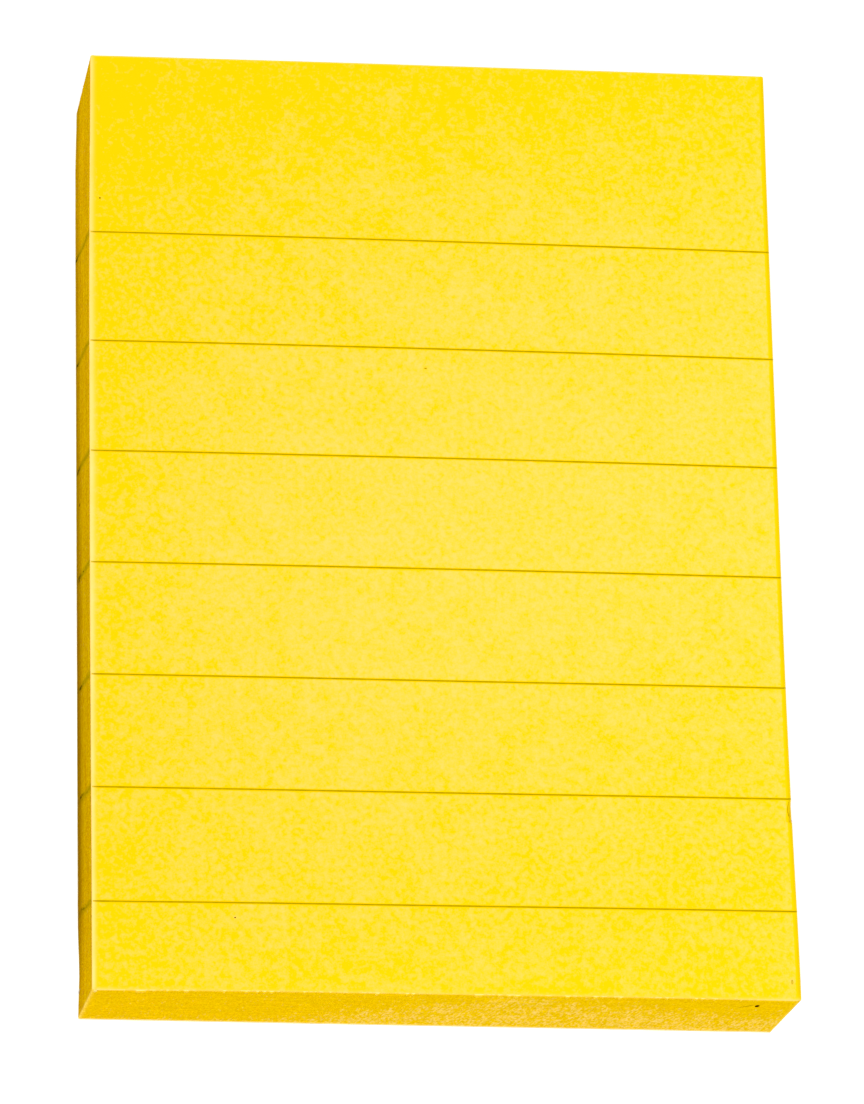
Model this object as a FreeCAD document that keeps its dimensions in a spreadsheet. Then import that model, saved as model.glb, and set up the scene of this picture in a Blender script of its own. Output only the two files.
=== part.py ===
import FreeCAD, Part
import os
import Sketcher

# A small ruled sticky-note pad lying on its back.
# Frame: +Y runs towards the glued end, +X to the right when the writing is read, +Z up.
# The origin is on the table, under the middle of the pad. All sizes are millimetres.

DRIVING_SIZES = [
    ("pad_width", "36.6", "side to side, across the ruled lines' length"),
    ("pad_length", "51.3", "free end to glued end, along the right-hand edge"),
    ("free_end_skew", "0.17", "how much nearer the free cut is at the left-hand edge"),
    ("glued_end_skew", "0.12", "how much nearer the glued cut is at the left-hand edge"),
    ("blade_draw", "0.31", "how far the cut at the free end leans in, from the top leaf to the backing"),
    ("corner_break", "0.1", "leg of the small slant that softens each corner"),
    ("leaf_count", "100", "notes in the pad"),
    ("glued_height", "8.1", "height of the leaves at the glued end, adhesive included"),
    ("free_height", "7.9", "height of the leaves at the free end, where there is no adhesive"),
    ("glue_band", "12.5", "width of the adhesive strip behind each leaf"),
    ("leaf_groove", "0.02", "depth of the nick between two leaves' cut edges"),
    ("rule_count", "7", "printed lines on each leaf"),
    ("rule_spacing", "6.06", "from one printed line to the next"),
    ("first_rule", "10.14", "from the glued end, at the right-hand edge, to the first printed line"),
    ("rule_width", "0.09", "width of a printed line"),
    ("backing_thickness", "0.1", "release sheet that covers the last note's adhesive"),
]

doc = FreeCAD.newDocument("NotePad")
sheet = doc.addObject("Spreadsheet::Sheet", "Sizes")
for row, (alias, value, meaning) in enumerate(DRIVING_SIZES, start=1):
    sheet.set("A%d" % row, alias)
    sheet.set("B%d" % row, value)
    sheet.set("C%d" % row, meaning)
    sheet.setAlias("B%d" % row, alias)
doc.recompute()


def size(alias):
    """The value of one driving size."""
    return float(getattr(sheet, alias))


def origin_plane(body, role):
    """One of the body's own three origin planes."""
    return next(f for f in body.Origin.OriginFeatures if f.Role == role)


# ---- Backing sheet: one leaf of release paper, cut with the stack ----

def backing_outline(body):
    """The backing sheet's cut edges: the sides are parallel and the ends a little out of square."""
    sketch = body.newObject("Sketcher::SketchObject", "BackingOutline")
    sketch.AttachmentSupport = [(origin_plane(body, "XY_Plane"), "")]
    sketch.MapMode = "FlatFace"
    half_width = size("pad_width") / 2
    half_length = size("pad_length") / 2
    corners = [
        FreeCAD.Vector(-half_width, -half_length, 0),
        FreeCAD.Vector(half_width, -half_length, 0),
        FreeCAD.Vector(half_width, half_length, 0),
        FreeCAD.Vector(-half_width, half_length, 0),
    ]
    for here, there in zip(corners, corners[1:] + corners[:1]):
        sketch.addGeometry(Part.LineSegment(here, there), False)
    free_cut, right_cut, glued_cut, left_cut = range(4)
    for edge in range(4):
        sketch.addConstraint(Sketcher.Constraint("Coincident", edge, 2, (edge + 1) % 4, 1))
    sketch.addConstraint(Sketcher.Constraint("Vertical", right_cut))
    sketch.addConstraint(Sketcher.Constraint("Vertical", left_cut))
    places = [
        ("LeftCut", "DistanceX", left_cut, 1, "-Sizes.pad_width / 2"),
        ("RightCut", "DistanceX", right_cut, 1, "Sizes.pad_width / 2"),
        ("FreeRight", "DistanceY", right_cut, 1, "-Sizes.pad_length / 2 + Sizes.blade_draw"),
        ("FreeLeft", "DistanceY", left_cut, 2,
         "-Sizes.pad_length / 2 + Sizes.blade_draw + Sizes.free_end_skew"),
        ("GluedRight", "DistanceY", right_cut, 2, "Sizes.pad_length / 2"),
        ("GluedLeft", "DistanceY", left_cut, 1, "Sizes.pad_length / 2 - Sizes.glued_end_skew"),
    ]
    for name, kind, edge, point, formula in places:
        start = sketch.getPoint(edge, point)
        value = start.x if kind == "DistanceX" else start.y
        index = sketch.addConstraint(Sketcher.Constraint(kind, -1, 1, edge, point, value))
        sketch.renameConstraint(index, name)
        sketch.setExpression("Constraints." + name, formula)
    return sketch


backing = doc.addObject("PartDesign::Body", "BackingSheet")
backing.Label = "backing_sheet"
outline = backing_outline(backing)
doc.recompute()
sheet_pad = backing.newObject("PartDesign::Pad", "ReleasePaper")
sheet_pad.Profile = outline
sheet_pad.setExpression("Length", "Sizes.backing_thickness")
doc.recompute()

upright_edges = [
    "Edge%d" % number
    for number, edge in enumerate(sheet_pad.Shape.Edges, start=1)
    if abs(edge.Vertexes[0].Z - edge.Vertexes[-1].Z) > size("backing_thickness") / 2
]
corners_cut = backing.newObject("PartDesign::Chamfer", "CornerBreaks")
corners_cut.Base = (sheet_pad, upright_edges)
corners_cut.setExpression("Size", "Sizes.corner_break")
backing.Tip = corners_cut
doc.recompute()


# ---- Note stack: the leaves, one solid, each leaf's cut edge standing a little proud ----

HALF_WIDTH = size("pad_width") / 2
HALF_LENGTH = size("pad_length") / 2
GLUE_EDGE = HALF_LENGTH - size("glue_band")
CORNER_LEG = size("corner_break")


def height(y, level=1.0):
    """How high the leaves stand at y, up to a level from 0, on the backing, to 1, the top.

    They are level over the adhesive and slope down from its edge to the free end, where there is none.
    """
    slope = (size("glued_height") - size("free_height")) / (GLUE_EDGE + HALF_LENGTH)
    rise = size("glued_height") - slope * max(0.0, GLUE_EDGE - y)
    return size("backing_thickness") + level * rise


def ring(level, groove):
    """The stack's outline at a level from 0 to 1, drawn in by the depth of a groove.

    It has a short slanting edge at each corner, and a point on each long side where the adhesive ends.
    """
    left = -HALF_WIDTH + groove
    right = HALF_WIDTH - groove
    draw = size("blade_draw") * (1 - level)
    free_right = -HALF_LENGTH + draw + groove
    free_left = free_right + size("free_end_skew")
    glued_right = HALF_LENGTH - groove
    glued_left = glued_right - size("glued_end_skew")
    plan = [
        (left + CORNER_LEG, free_left),
        (right - CORNER_LEG, free_right),
        (right, free_right + CORNER_LEG),
        (right, GLUE_EDGE),
        (right, glued_right - CORNER_LEG),
        (right - CORNER_LEG, glued_right),
        (left + CORNER_LEG, glued_left),
        (left, glued_left - CORNER_LEG),
        (left, GLUE_EDGE),
        (left, free_left + CORNER_LEG),
    ]
    return [FreeCAD.Vector(x, y, height(y, level)) for x, y in plan]


def flat_face(points):
    """A flat face with the points as its corners."""
    return Part.Face(Part.makePolygon(points + points[:1]))


def leaf_stack():
    """All the leaves: a ruled loft up through two rings a leaf, closed below and above."""
    leaves = int(size("leaf_count"))
    rings = []
    for half_leaf in range(2 * leaves + 1):
        between_leaves = half_leaf % 2 == 0
        groove = size("leaf_groove") if between_leaves else 0.0
        rings.append(ring(half_leaf / (2 * leaves), groove))
    wires = [Part.makePolygon(points + points[:1]) for points in rings]
    cut_sides = Part.makeLoft(wires, False, True)
    top = rings[-1]
    adhesive_half = flat_face(top[3:9])
    free_half = flat_face(top[8:] + top[:4])
    underside = flat_face(rings[0])
    shell = Part.makeShell(cut_sides.Faces + [adhesive_half, free_half, underside])
    shell.sewShape()
    solid = Part.makeSolid(shell)
    if solid.Volume < 0:
        solid.reverse()
    return solid


def printed_line(number):
    """One ruled line of the top note, a narrow face from edge to edge: print has no height of its own."""
    middle = HALF_LENGTH - size("first_rule") - number * size("rule_spacing")
    upper = middle + size("rule_width") / 2
    lower = middle - size("rule_width") / 2
    edge = HALF_WIDTH - size("leaf_groove")
    corners = [(-edge, lower), (edge, lower), (edge, upper), (-edge, upper)]
    return flat_face([FreeCAD.Vector(x, y, height(y)) for x, y in corners])


def ruled(solid):
    """The stack with the top note's face divided by its printed lines."""
    lines = [printed_line(number) for number in range(int(size("rule_count")))]
    pieces, history = solid.generalFuse(lines)
    return pieces.Solids[0]


stack = doc.addObject("Part::Feature", "NoteStack")
stack.Label = "note_stack"
stack.Shape = ruled(leaf_stack())
stack.Placement = FreeCAD.Placement()
doc.recompute()


# ---- Test every object, then write the nodes ----

NODES = [stack, backing]

for item in doc.Objects:
    if "Invalid" in item.State or "Error" in item.State:
        raise RuntimeError("%s failed: %s" % (item.Label, item.State))

os.makedirs("parts", exist_ok=True)
for node in NODES:
    shape = node.Shape
    if shape.isNull() or not shape.isValid():
        raise RuntimeError(node.Label + " has no valid shape")
    if len(shape.Solids) != 1:
        raise RuntimeError(node.Label + " is not one solid")
    shape.exportStep("parts/%s.step" % node.Label)
    box = shape.BoundBox
    print("%-14s %d faces, %.1f mm3, x %.3f..%.3f y %.3f..%.3f z %.3f..%.3f" % (
        node.Label, len(shape.Faces), shape.Volume,
        box.XMin, box.XMax, box.YMin, box.YMax, box.ZMin, box.ZMax))
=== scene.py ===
# %% [markdown]
# # A small ruled note pad
#
# The pad is about a hundred yellow leaves, each with a strip of weak adhesive behind one short end. They are
# stacked, and one stroke of a guillotine cuts all their edges at once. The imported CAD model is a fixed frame:
# this notebook builds the visible surface inside it and never moves it. Lengths are in millimetres until a
# mesh is made, because Blender gets metres.

import math

import bpy
import numpy as np
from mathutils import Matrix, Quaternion, Vector


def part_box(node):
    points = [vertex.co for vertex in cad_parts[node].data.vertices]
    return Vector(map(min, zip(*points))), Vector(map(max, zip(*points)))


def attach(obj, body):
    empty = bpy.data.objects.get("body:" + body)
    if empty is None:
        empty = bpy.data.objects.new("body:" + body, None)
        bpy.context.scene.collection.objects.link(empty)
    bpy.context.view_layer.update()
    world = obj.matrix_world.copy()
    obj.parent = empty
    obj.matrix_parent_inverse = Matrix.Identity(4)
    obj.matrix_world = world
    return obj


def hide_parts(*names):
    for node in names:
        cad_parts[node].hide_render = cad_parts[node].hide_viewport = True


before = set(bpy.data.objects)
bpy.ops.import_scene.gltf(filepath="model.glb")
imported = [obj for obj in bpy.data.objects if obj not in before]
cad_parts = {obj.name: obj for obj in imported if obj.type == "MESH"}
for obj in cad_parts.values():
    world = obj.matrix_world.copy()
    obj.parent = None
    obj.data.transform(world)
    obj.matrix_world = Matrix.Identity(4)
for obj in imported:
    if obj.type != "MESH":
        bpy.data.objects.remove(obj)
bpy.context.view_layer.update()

MM = 0.001
stack_low, stack_high = (np.array(corner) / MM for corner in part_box("note_stack"))
backing_high = np.array(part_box("backing_sheet")[1]) / MM
print("leaves", stack_low.round(2), stack_high.round(2), "backing top", round(backing_high[2], 3))

# %% [markdown]
# ## Camera
#
# The pad is seen from well above, from a little to the left of its free end. A long lens far away keeps its
# sides almost parallel. The camera turns round a point on the pad, because an azimuth and an elevation are
# easier to reason about than three coordinates. Then it is rolled until the pad stands upright in the frame.

# %% Place the camera
AIM = Vector((-0.3895, -1.7743, 8.0)) * MM
CAMERA_DISTANCE = 0.31888
CAMERA_AZIMUTH = math.radians(-24.521)
CAMERA_ELEVATION = math.radians(70.171)
CAMERA_ROLL = math.radians(24.586)
LENS_MM = 199.28


def add_object(name, data):
    """A new object in the scene for a camera, a lamp or a mesh."""
    item = bpy.data.objects.new(name, data)
    bpy.context.scene.collection.objects.link(item)
    return item


camera = add_object("camera", bpy.data.cameras.new("camera"))
towards_camera = Vector((
    math.sin(CAMERA_AZIMUTH) * math.cos(CAMERA_ELEVATION),
    -math.cos(CAMERA_AZIMUTH) * math.cos(CAMERA_ELEVATION),
    math.sin(CAMERA_ELEVATION),
))
camera.location = AIM + towards_camera * CAMERA_DISTANCE
camera.rotation_mode = "QUATERNION"
level_view = (-towards_camera).to_track_quat("-Z", "Y")
camera.rotation_quaternion = level_view @ Quaternion((0, 0, 1), CAMERA_ROLL)
camera.data.lens = LENS_MM
camera.data.clip_start = 0.01
camera.data.clip_end = 10
bpy.context.scene.camera = camera
print("camera at", [round(c / MM, 1) for c in camera.location])

# %% [markdown]
# ## Colours and nodes
#
# Paint charts and screens give colours as sRGB hex codes, and Blender's shaders work in linear light, so one
# function turns one into the other. Another adds a node, sets it and links it in a single call, so that a
# material reads as a recipe.

# %% Helpers for materials
def linear(code):
    """An sRGB hex colour as linear red, green, blue and alpha, by the sRGB curve."""
    channels = [int(code[i:i + 2], 16) / 255 for i in (1, 3, 5)]
    return [c / 12.92 if c <= 0.04045 else ((c + 0.055) / 1.055) ** 2.4 for c in channels] + [1.0]


def add_node(tree, kind, settings=(), inputs=()):
    """A node of one kind, with its settings and its inputs. An input is a value, or another node's output."""
    node = tree.nodes.new(kind)
    for name, value in dict(settings).items():
        setattr(node, name, value)
    for name, value in dict(inputs).items():
        if isinstance(value, bpy.types.NodeSocket):
            tree.links.new(value, node.inputs[name])
        else:
            node.inputs[name].default_value = value
    return node


def new_material(name):
    """An empty node material, with its node tree and its output, ready for a recipe."""
    material = bpy.data.materials.new(name)
    material.use_nodes = True
    material.node_tree.nodes.clear()
    output = material.node_tree.nodes.new("ShaderNodeOutputMaterial")
    return material, material.node_tree, output


def marked(tree, colour, marks):
    """A colour with others mixed over it in turn, each as strongly as the mark it is listed with."""
    for mark, code in marks:
        amount = add_node(tree, "ShaderNodeAttribute", {"attribute_name": mark}).outputs["Fac"]
        colour = add_node(tree, "ShaderNodeMix", {"data_type": "RGBA"}, {
            "Factor": amount, "A": colour, "B": linear(code)}).outputs["Result"]
    return colour


print("note yellow in linear light", [round(c, 3) for c in linear("#F3C300")[:3]])

# %% [markdown]
# ## Table and light
#
# Small goods are often shown on a lit acrylic table, which drowns their shadows. The table here is a plain
# white sheet with a little light of its own. An even white room fills the sides, and one softbox in front and
# above makes the top the brightest face and the left side the darkest. Looks start with light.

# %% Light the studio
ROOM_STRENGTH = 0.45
KEY_PLACE = (-0.16, -0.5, 1.4)
KEY_SIZE = 0.5
KEY_POWER = 21.5

world = bpy.data.worlds.new("studio")
bpy.context.scene.world = world
world.use_nodes = True
world.node_tree.nodes["Background"].inputs["Color"].default_value = linear("#FFFFFF")
world.node_tree.nodes["Background"].inputs["Strength"].default_value = ROOM_STRENGTH
bpy.context.scene.view_settings.view_transform = "Standard"

key_lamp = bpy.data.lights.new("key", "AREA")
key_lamp.shape = "SQUARE"
key_lamp.size = KEY_SIZE
key_lamp.energy = KEY_POWER
key = add_object("key", key_lamp)
key.location = KEY_PLACE
key.rotation_mode = "QUATERNION"
key.rotation_quaternion = (-Vector(KEY_PLACE)).to_track_quat("-Z", "Y")
print("softbox", KEY_SIZE, "m across, room strength", ROOM_STRENGTH)

# %% Table
TABLE_GLOW = 0.3
TABLE_HALF = 2.0
SQUARE = ((-1, -1), (1, -1), (1, 1), (-1, 1))
TABLE_TOP = -0.00001  # just under the pad's foot, so that the two faces don't flicker

table_material, tree, output = new_material("opal_acrylic_table")
# Opal acrylic lit from behind: a plain pale sheet with no pattern that this view could show.
acrylic = add_node(tree, "ShaderNodeBsdfPrincipled", inputs={
    "Base Color": linear("#E7E7E7"), "Roughness": 0.9, "Specular IOR Level": 0.1,
    "Emission Color": linear("#FFFFFF"), "Emission Strength": TABLE_GLOW})
tree.links.new(acrylic.outputs[0], output.inputs[0])
table_mesh = bpy.data.meshes.new("table")
table_mesh.from_pydata([(TABLE_HALF * x, TABLE_HALF * y, TABLE_TOP) for x, y in SQUARE], [], [(0, 1, 2, 3)])
table_mesh.materials.append(table_material)
table = add_object("table", table_mesh)
print("table", 2 * TABLE_HALF, "m across")

# %% [markdown]
# ## The pad's outline
#
# Under a guillotine the stack is pressed and then springs back, so its cuts are never quite straight or
# square. The cut at the free end leans and twists, the right-hand edge springs in by a tenth of a millimetre,
# and the lowest leaves are nipped near one corner. There is one formula an edge, so that the leaves, the top
# note and the printed lines all stop at the same cut. Level runs from 0 at the backing to 1 at the top note.

# %% Edges of the cut
HALF_WIDTH = stack_high[0]
HALF_LENGTH = stack_high[1]
BACKING = backing_high[2]
TOP = stack_high[2]
FREE_INSET = 0.043  # how far inside the frame the free cut stands, at the right of the top note
FREE_SKEW_TOP = 0.106  # how much further in it is at the left of the top note
FREE_SKEW_FOOT = 0.24  # and at the left of the lowest leaf
BLADE_DRAW = 0.275  # how far the free cut leans in from the top note to the lowest leaf
GLUED_SKEW = 0.124  # how much further in the glued cut is at the left
RIGHT_SPRING = 0.108  # how far the right-hand cut springs in at its middle
NIP_AT = -22.6  # y of the nip in the lowest leaves, on the left
NIP_DEPTH = 0.07


def bell(distance, reach):
    """1 at no distance, falling smoothly to nothing past the reach: e to minus the squared ratio."""
    return np.exp(-(distance / reach) ** 2)


def left_edge(y, level):
    """x of the left cut: drawn in at the glued end, and for the lowest leaves nipped near the free corner."""
    top = 0.03 + 0.1 * bell(y - HALF_LENGTH, 8)
    foot = 0.003 + 0.02 * bell(y - HALF_LENGTH, 5) + 0.07 * bell(y - HALF_LENGTH, 2.2)
    nip = NIP_DEPTH * bell(y - NIP_AT, 1.5) * (1 - level) ** 5
    return -HALF_WIDTH + foot + (top - foot) * level + nip


def right_edge(y, level):
    """x of the right cut: it springs in along the middle, and flares out at both ends."""
    sprung = HALF_WIDTH - RIGHT_SPRING + 0.102 * bell(y + HALF_LENGTH, 7)
    return sprung + 0.058 * bell(y - HALF_LENGTH, 5) + 0 * level


def free_edge(across, level):
    """y of the free cut at a share across, 0 at the left and 1 at the right: it leans and twists a little."""
    skew = FREE_SKEW_FOOT + (FREE_SKEW_TOP - FREE_SKEW_FOOT) * level
    return -HALF_LENGTH + FREE_INSET + skew * (1 - across) + BLADE_DRAW * (1 - level)


def glued_edge(across, level):
    """y of the glued cut: a little out of square, and upright."""
    return HALF_LENGTH - 0.004 - GLUED_SKEW * (1 - across) + 0 * level


def between_cuts(across, along, level, shift_x, shift_y):
    """x and y of points from their shares between the cuts, each then moved by its shift."""
    free = free_edge(across, level)
    y = free + (glued_edge(across, level) - free) * along + shift_y
    left = left_edge(y, level)
    return left + (right_edge(y, level) - left) * across + shift_x, y


print("width at the middle", round(float(right_edge(0, 1) - left_edge(0, 1)), 2), "mm")

# %% [markdown]
# ## The height of the top note
#
# Each leaf carries its adhesive at one end only, so that end of the pad stands level and firm. Past it the
# leaves sink, and at the free end they curl up again, as notes do. The cuts pinch them: the long edges and
# the two free corners droop by a fifth of a millimetre. All of it is one formula of x and y.

# %% Height formula
GLUE_EDGE = HALF_LENGTH - 12.5
KNEE = 0.05  # softness of the bend at the glue's edge, as a share of the length past it
LEAVES = 99  # under the top note
LEAF = (TOP - BACKING) / (LEAVES + 1)
BURR = 0.028
CLEARANCE = 0.014
SLOPE, SAG, CURL = 0.257, 0.17, 0.27
SIDE_DROOP, LEFT_CORNER_DROOP, RIGHT_CORNER_DROOP = 0.175, 0.24, 0.15


def note_height(x, y):
    """Height of the top leaf: level, then a slope with a soft knee, with a sag, a curl, droops and waves."""
    past_glue = (GLUE_EDGE - y) / (GLUE_EDGE + HALF_LENGTH)
    slope = SLOPE * KNEE * np.log1p(np.exp(past_glue / KNEE))
    sag = SAG * bell(y + 6, 8) + 0.08 * bell(y + 11, 5.5) * bell(x - 1, 14)
    curl = CURL * bell(y + HALF_LENGTH, 7)
    sides = SIDE_DROOP * np.abs(x / HALF_WIDTH) ** 2.5 * bell(y - 6.7, 19)
    corners = (LEFT_CORNER_DROOP * bell(x + HALF_WIDTH, 5)
               + RIGHT_CORNER_DROOP * bell(x - HALF_WIDTH, 5)) * bell(y + HALF_LENGTH, 5)
    waves = 0.005 * (np.sin(x / 3.1 + y / 7.7) + np.sin(y / 4.3 - x / 5.9 + 1.3))
    return TOP - BURR - CLEARANCE - slope - sag + curl - sides - corners + waves


print("height, glued end, middle, free end:", note_height(0, np.array([25.0, 0.0, -25.6])).round(3))

# %% [markdown]
# ## Making meshes from arrays
#
# Every surface below is a grid: rows of points worked out at once with numpy, joined by four-cornered faces.
# One helper numbers the faces of a grid, and one puts arrays into a mesh, much faster than adding points one
# by one. A piece may carry marks: named values at its points that its material reads.

# %% Mesh helpers
def grid_faces(rows, columns, first=0, closed=False):
    """Faces over a grid of points numbered along its rows; closed joins each row's end to its start."""
    row, column = np.mgrid[0:rows - 1, 0:columns if closed else columns - 1]
    beside = (column + 1) % columns
    corners = (row * columns + column, row * columns + beside,
               (row + 1) * columns + beside, (row + 1) * columns + column)
    return first + np.stack(corners, axis=-1).reshape(-1, 4)


def make_piece(name, points, face_groups, material, smooth=False, marks=()):
    """A mesh object from points in millimetres, groups of equal-sided faces, and marks at the points."""
    points = np.asarray(points, dtype=float).reshape(-1, 3) * MM
    corners = np.concatenate([group.ravel() for group in face_groups])
    counts = np.concatenate([np.full(len(group), group.shape[1]) for group in face_groups])
    mesh = bpy.data.meshes.new(name)
    mesh.vertices.add(len(points))
    mesh.vertices.foreach_set("co", points.ravel())
    mesh.loops.add(len(corners))
    mesh.loops.foreach_set("vertex_index", corners)
    mesh.polygons.add(len(counts))
    mesh.polygons.foreach_set("loop_start", np.cumsum(counts) - counts)
    mesh.polygons.foreach_set("use_smooth", np.full(len(counts), smooth))
    mesh.update(calc_edges=True)
    mesh.validate()
    for mark, values in dict(marks).items():
        layer = mesh.attributes.new(mark, "FLOAT", "POINT")
        layer.data.foreach_set("value", np.asarray(values, dtype=float).ravel())
    mesh.materials.append(material)
    piece = add_object(name, mesh)
    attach(piece, "root")
    print(name, len(points), "points,", int((counts - 2).sum()), "triangles")
    return piece


print("a grid of 3 by 4 points has", len(grid_faces(3, 4)), "faces")

# %% [markdown]
# ## Where the ruling lies
#
# Seven lines are printed 6 mm apart across every note. Both paper materials need to know where they are,
# because ink soaks a little way into the paper beside it, so the ruling comes before the paper. Blender's
# Ping-Pong gives the distance to the nearest line.

# %% Positions of the ruled lines
FIRST_LINE = 15.513
LINE_SPACING = 6.061
LINE_WIDTH = 0.085
LINES = 7
CREEP = 1.27  # how far the lines shift towards the glued end from the top leaf to the lowest
line_y = FIRST_LINE - LINE_SPACING * np.arange(LINES)


def near_line(tree, y, slanting_y, shift, limits, strength):
    """How strongly a point lies on a line: strength at the first limit, and 0 from the second one outwards.

    Limits are distances in spacings from the nearest line, by a triangle wave of slanting_y, which is y on
    the face and follows the trails on a cut, where the lines are shifted. There are none above the first.
    """
    in_spacings = add_node(tree, "ShaderNodeMath", {"operation": "MULTIPLY_ADD"}, {
        0: slanting_y, 1: 1 / (LINE_SPACING * MM), 2: -(FIRST_LINE + shift) / LINE_SPACING})
    distance = add_node(tree, "ShaderNodeMath", {"operation": "PINGPONG"}, {
        0: in_spacings.outputs[0], 1: 0.5})
    close = add_node(tree, "ShaderNodeMapRange", {"interpolation_type": "SMOOTHSTEP"}, {
        "Value": distance.outputs[0], "From Min": limits[1], "From Max": limits[0], "To Max": strength})
    is_ruled = add_node(tree, "ShaderNodeMath", {"operation": "LESS_THAN"}, {
        0: y, 1: (FIRST_LINE + LINE_SPACING / 2) * MM})
    both = add_node(tree, "ShaderNodeMath", {"operation": "MULTIPLY"}, {
        0: close.outputs[0], 1: is_ruled.outputs[0]})
    return both.outputs[0]


print("ruled lines at y =", line_y.round(2))

# %% [markdown]
# ## Note paper, seen on its face
#
# Sticky notes are uncoated wood-free paper, dyed yellow in the pulp. Its fibres lie in small clouds, and
# where they lie thin the paper is paler. A painted sheen lies over the middle of the note, and the yellow is
# painted a little greener, that is brighter, towards the right, as painted light. At the left-hand cut the
# fibres are frayed and pale under a painted highlight, and at the right, where the blade left the stack, they
# are pressed and deeper under a painted shade. Three marks say where.

# %% Paper face
CLOUD_MM = 0.32
PATCH_MM = 2.5
FIBRE_MM = 0.1
SOAK_MM = 0.13
CLOUD_CONTRAST = 3.4
paper_face, tree, output = new_material("dyed_woodfree_note_paper")
place = add_node(tree, "ShaderNodeTexCoord").outputs["Object"]
clouds = add_node(tree, "ShaderNodeTexNoise", inputs={
    "Vector": place, "Scale": 1 / (CLOUD_MM * MM), "Detail": 2.0, "Roughness": 0.75}).outputs["Fac"]
patches = add_node(tree, "ShaderNodeTexNoise", inputs={
    "Vector": place, "Scale": 1 / (PATCH_MM * MM), "Detail": 3.0, "Roughness": 0.7}).outputs["Fac"]
paper_look = add_node(tree, "ShaderNodeMix", inputs={"Factor": 0.25, "A": clouds, "B": patches})
painted_sheen = add_node(tree, "ShaderNodeAttribute", {"attribute_name": "painted_sheen"}).outputs["Fac"]
thin = add_node(tree, "ShaderNodeMath", {"operation": "MULTIPLY_ADD"}, {
    0: paper_look.outputs["Result"], 1: CLOUD_CONTRAST, 2: -CLOUD_CONTRAST / 2})
# The sheen mark adds a painted sheen to the paleness of the clouds.
paler = add_node(tree, "ShaderNodeMath", {"operation": "ADD"}, {0: thin.outputs[0], 1: painted_sheen})
axes = add_node(tree, "ShaderNodeSeparateXYZ", inputs={"Vector": place})
soak = SOAK_MM / LINE_SPACING
deepened = near_line(tree, axes.outputs["Y"], axes.outputs["Y"], 0, (0.3 * soak, soak), 1.1)
paleness = add_node(tree, "ShaderNodeMath", {"operation": "SUBTRACT", "use_clamp": True}, {
    0: paler.outputs[0], 1: deepened})
print(paper_face.name, "has clouds", CLOUD_MM, "mm across")

# %% Dye and relief of the paper face
# Both yellows are painted a little greener, that is brighter, towards the right: painted light.
across_pad = add_node(tree, "ShaderNodeMapRange", inputs={
    "Value": axes.outputs["X"], "From Min": -HALF_WIDTH * MM, "From Max": HALF_WIDTH * MM})
deep = add_node(tree, "ShaderNodeMix", {"data_type": "RGBA"}, {
    "Factor": across_pad.outputs[0], "A": linear("#F3C400"), "B": linear("#F3C900")})
pale = add_node(tree, "ShaderNodeMix", {"data_type": "RGBA"}, {
    "Factor": across_pad.outputs[0], "A": linear("#F6C75A"), "B": linear("#F6CD5A")})
dyed = add_node(tree, "ShaderNodeMix", {"data_type": "RGBA"}, {
    "Factor": paleness.outputs[0], "A": deep.outputs["Result"], "B": pale.outputs["Result"]})
# The frayed mark is pale fibre with a painted highlight, and the pressed mark is pressed fibre with a painted
# shade.
dyed = marked(tree, dyed.outputs["Result"], (("pressed_and_shaded", "#D8B900"), ("frayed_and_lit", "#F8D880")))
fibres = add_node(tree, "ShaderNodeTexNoise", inputs={
    "Vector": place, "Scale": 1 / (FIBRE_MM * MM), "Detail": 2.0}).outputs["Fac"]
relief = add_node(tree, "ShaderNodeBump", inputs={"Height": fibres, "Strength": 0.2, "Distance": 0.00002})
paper = add_node(tree, "ShaderNodeBsdfPrincipled", inputs={
    "Base Color": dyed, "Roughness": 0.75, "Specular IOR Level": 0.02, "Normal": relief.outputs[0]})
tree.links.new(paper.outputs[0], output.inputs[0])
print(paper_face.name, len(tree.nodes), "nodes")

# %% [markdown]
# ## Note paper, seen on its cut edges
#
# A guillotined edge shows a hundred cut leaves. Light sinks between them, so the yellow is deeper. A tone as
# thin as a leaf varies from one to the next, and the blade draws a finer grain and strokes up through them
# all. The mark scored says how strong these tones are, and layered how much of them follows the leaves.

# %% Tone of the cut
STREAK_MM = 4.0
GRAIN_MM = 0.11
STROKE_MM = 0.13
leaf_edges, tree, output = new_material("guillotined_note_paper_edges")
place = add_node(tree, "ShaderNodeTexCoord").outputs["Object"]
per_leaf = add_node(tree, "ShaderNodeMapping", inputs={
    "Vector": place, "Scale": (1 / (STREAK_MM * MM), 1 / (STREAK_MM * MM), 1 / (LEAF * MM))})
leaf_tone = add_node(tree, "ShaderNodeTexNoise", inputs={
    "Vector": per_leaf.outputs[0], "Scale": 1.0, "Detail": 2.0}).outputs["Fac"]
tall_grain = add_node(tree, "ShaderNodeMapping", inputs={
    "Vector": place, "Scale": (1 / (GRAIN_MM * MM), 1 / (GRAIN_MM * MM), 0.35 / (GRAIN_MM * MM)),
    "Rotation": (0.3, 0.6, 0.5)})
grain = add_node(tree, "ShaderNodeTexNoise", inputs={
    "Vector": tall_grain.outputs[0], "Scale": 1.0, "Detail": 2.0, "Roughness": 0.7}).outputs["Fac"]
blade_strokes = add_node(tree, "ShaderNodeMapping", inputs={
    "Vector": place, "Scale": (1 / (STROKE_MM * MM), 1 / (STROKE_MM * MM), 0.15 / (STROKE_MM * MM))})
strokes = add_node(tree, "ShaderNodeTexNoise", inputs={
    "Vector": blade_strokes.outputs[0], "Scale": 1.0, "Detail": 3.0, "Roughness": 0.8}).outputs["Fac"]
surface = add_node(tree, "ShaderNodeMix", inputs={"Factor": 0.3, "A": grain, "B": strokes})
layered = add_node(tree, "ShaderNodeAttribute", {"attribute_name": "layered"}).outputs["Fac"]
tone = add_node(tree, "ShaderNodeMix", inputs={
    "Factor": layered, "A": surface.outputs["Result"], "B": leaf_tone})
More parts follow.
